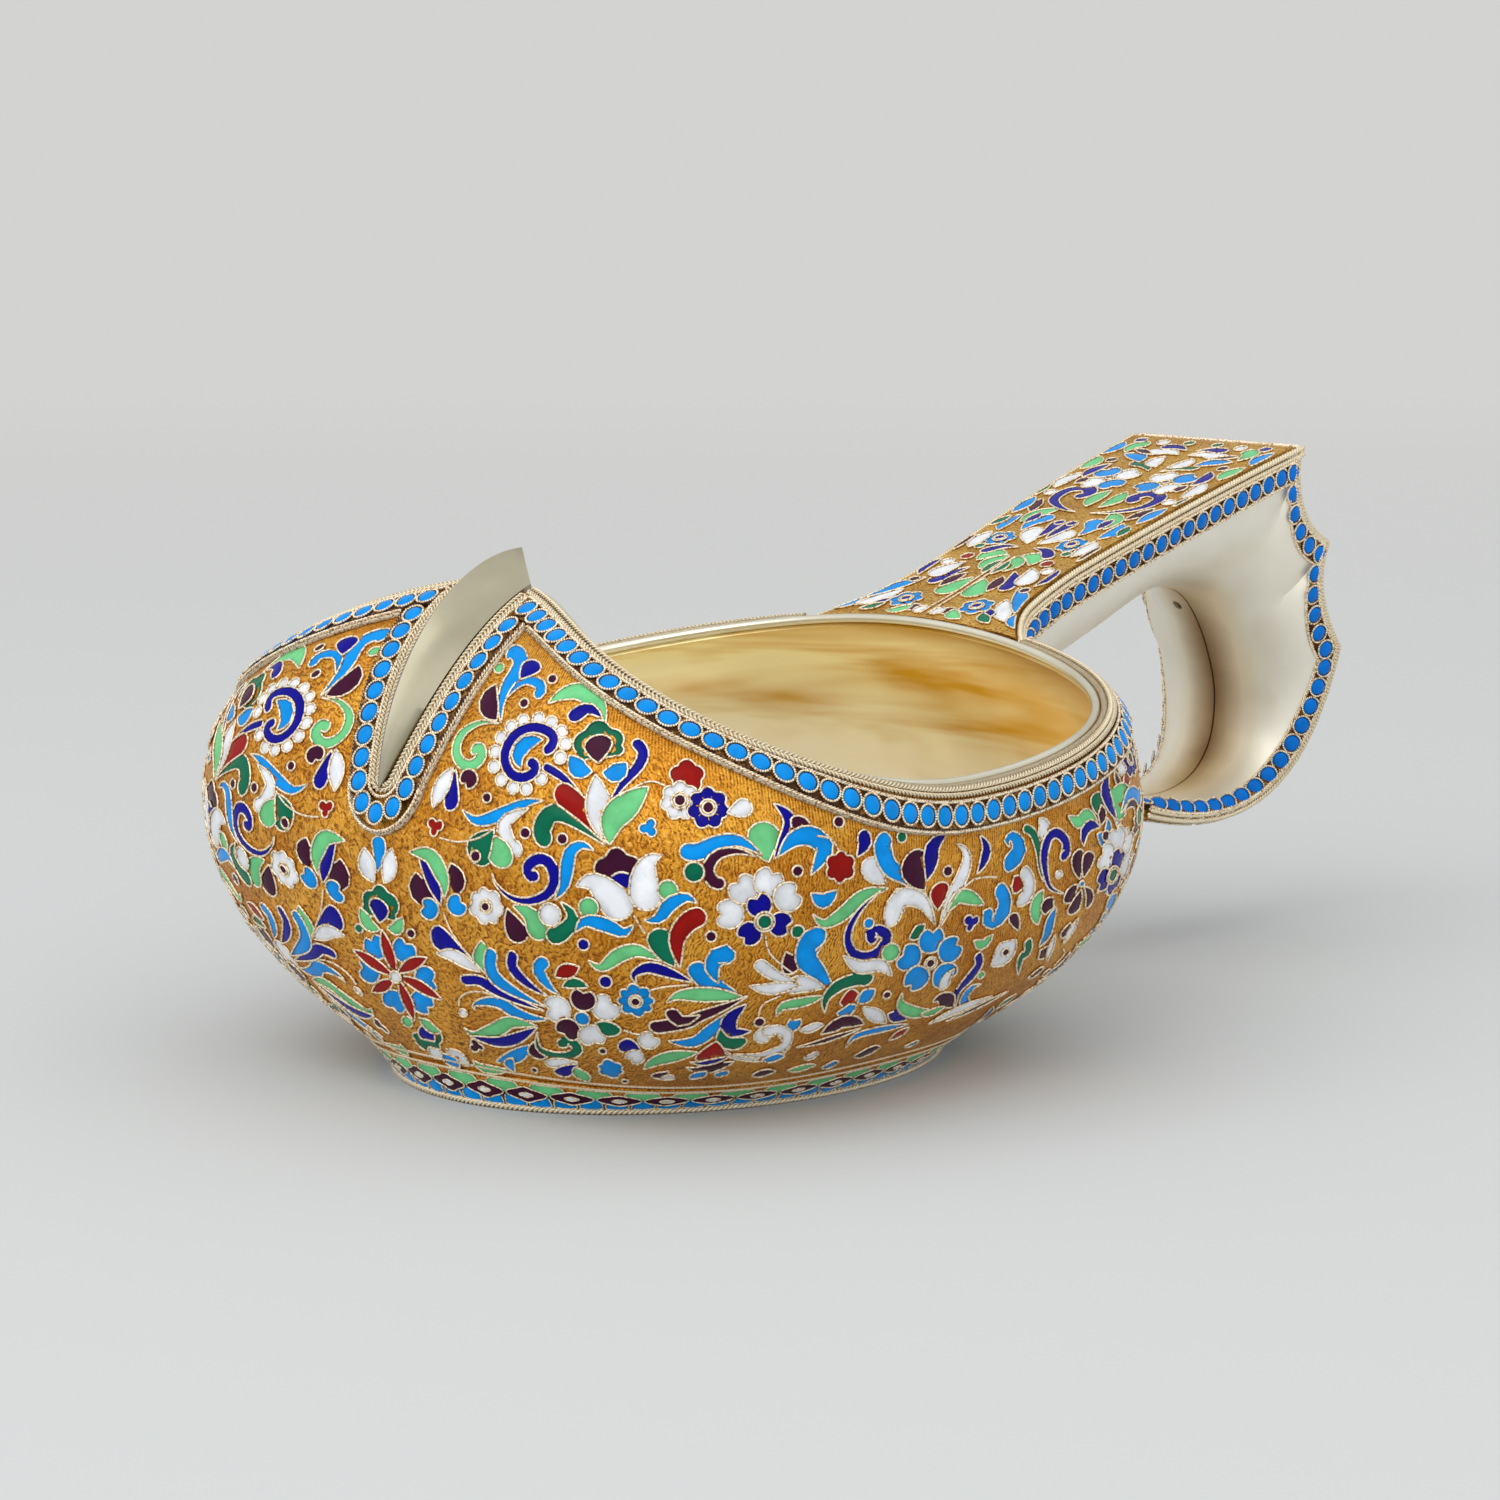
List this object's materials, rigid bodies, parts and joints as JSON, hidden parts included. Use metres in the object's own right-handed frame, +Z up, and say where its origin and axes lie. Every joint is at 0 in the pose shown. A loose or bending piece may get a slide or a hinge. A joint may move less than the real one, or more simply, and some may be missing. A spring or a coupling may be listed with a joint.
{
  "type": "kovsh",
  "caption": "Small boat-shaped drinking ladle with an oval flat base, a peaked prow, a scalloped hooked handle and floral filigree enamel.",
  "frame": {"origin": "on the underside of the flat base, in the mirror plane, a little sternward of the base's middle", "axes": "+Z up, prow towards -X, handle towards +X, mirror plane Y = 0"},
  "size_m": [0.1775, 0.107, 0.0715],
  "materials": {
    "gilt": "gilded silver, finely stippled outside with filigree enamel",
    "silver": "polished warm silver with light patina",
    "cream_wire": "twisted silver wire with worn gilding",
    "turquoise_enamel": "glossy turquoise enamel in beaded wire rings",
    "green_enamel": "glossy green, white and burgundy enamel",
    "panel_enamel": "gilded ground with floral filigree enamel"
  },
  "bodies": {
    "root": {"bowl_shell": "gilt", "base_plate": "silver", "mouth_lip_wire": "silver", "prow_keel_plate": "silver", "handle_cheek_near": "silver", "handle_cheek_far": "silver", "foot_rope_wire": "cream_wire", "foot_upper_wire": "cream_wire", "mouth_rope_wire_near": "cream_wire", "mouth_rope_wire_far": "cream_wire", "mouth_border_wire_near": "cream_wire", "mouth_border_wire_far": "cream_wire", "prow_rope_wire_near": "cream_wire", "prow_rope_wire_far": "cream_wire", "prow_border_wire_near": "cream_wire", "prow_border_wire_far": "cream_wire", "handle_edge_wire_near": "cream_wire", "handle_edge_wire_far": "cream_wire", "handle_corner_wire": "cream_wire", "handle_tip_wire": "cream_wire", "foot_disc_band": "turquoise_enamel", "mouth_disc_band_near": "turquoise_enamel", "mouth_disc_band_far": "turquoise_enamel", "prow_disc_band_near": "turquoise_enamel", "prow_disc_band_far": "turquoise_enamel", "prow_bottom_bead": "turquoise_enamel", "handle_disc_band_near": "turquoise_enamel", "handle_disc_band_far": "turquoise_enamel", "foot_eye_band": "green_enamel", "handle_top_panel": "panel_enamel", "handle_back_panel": "panel_enamel"}
  },
  "joints": []
}
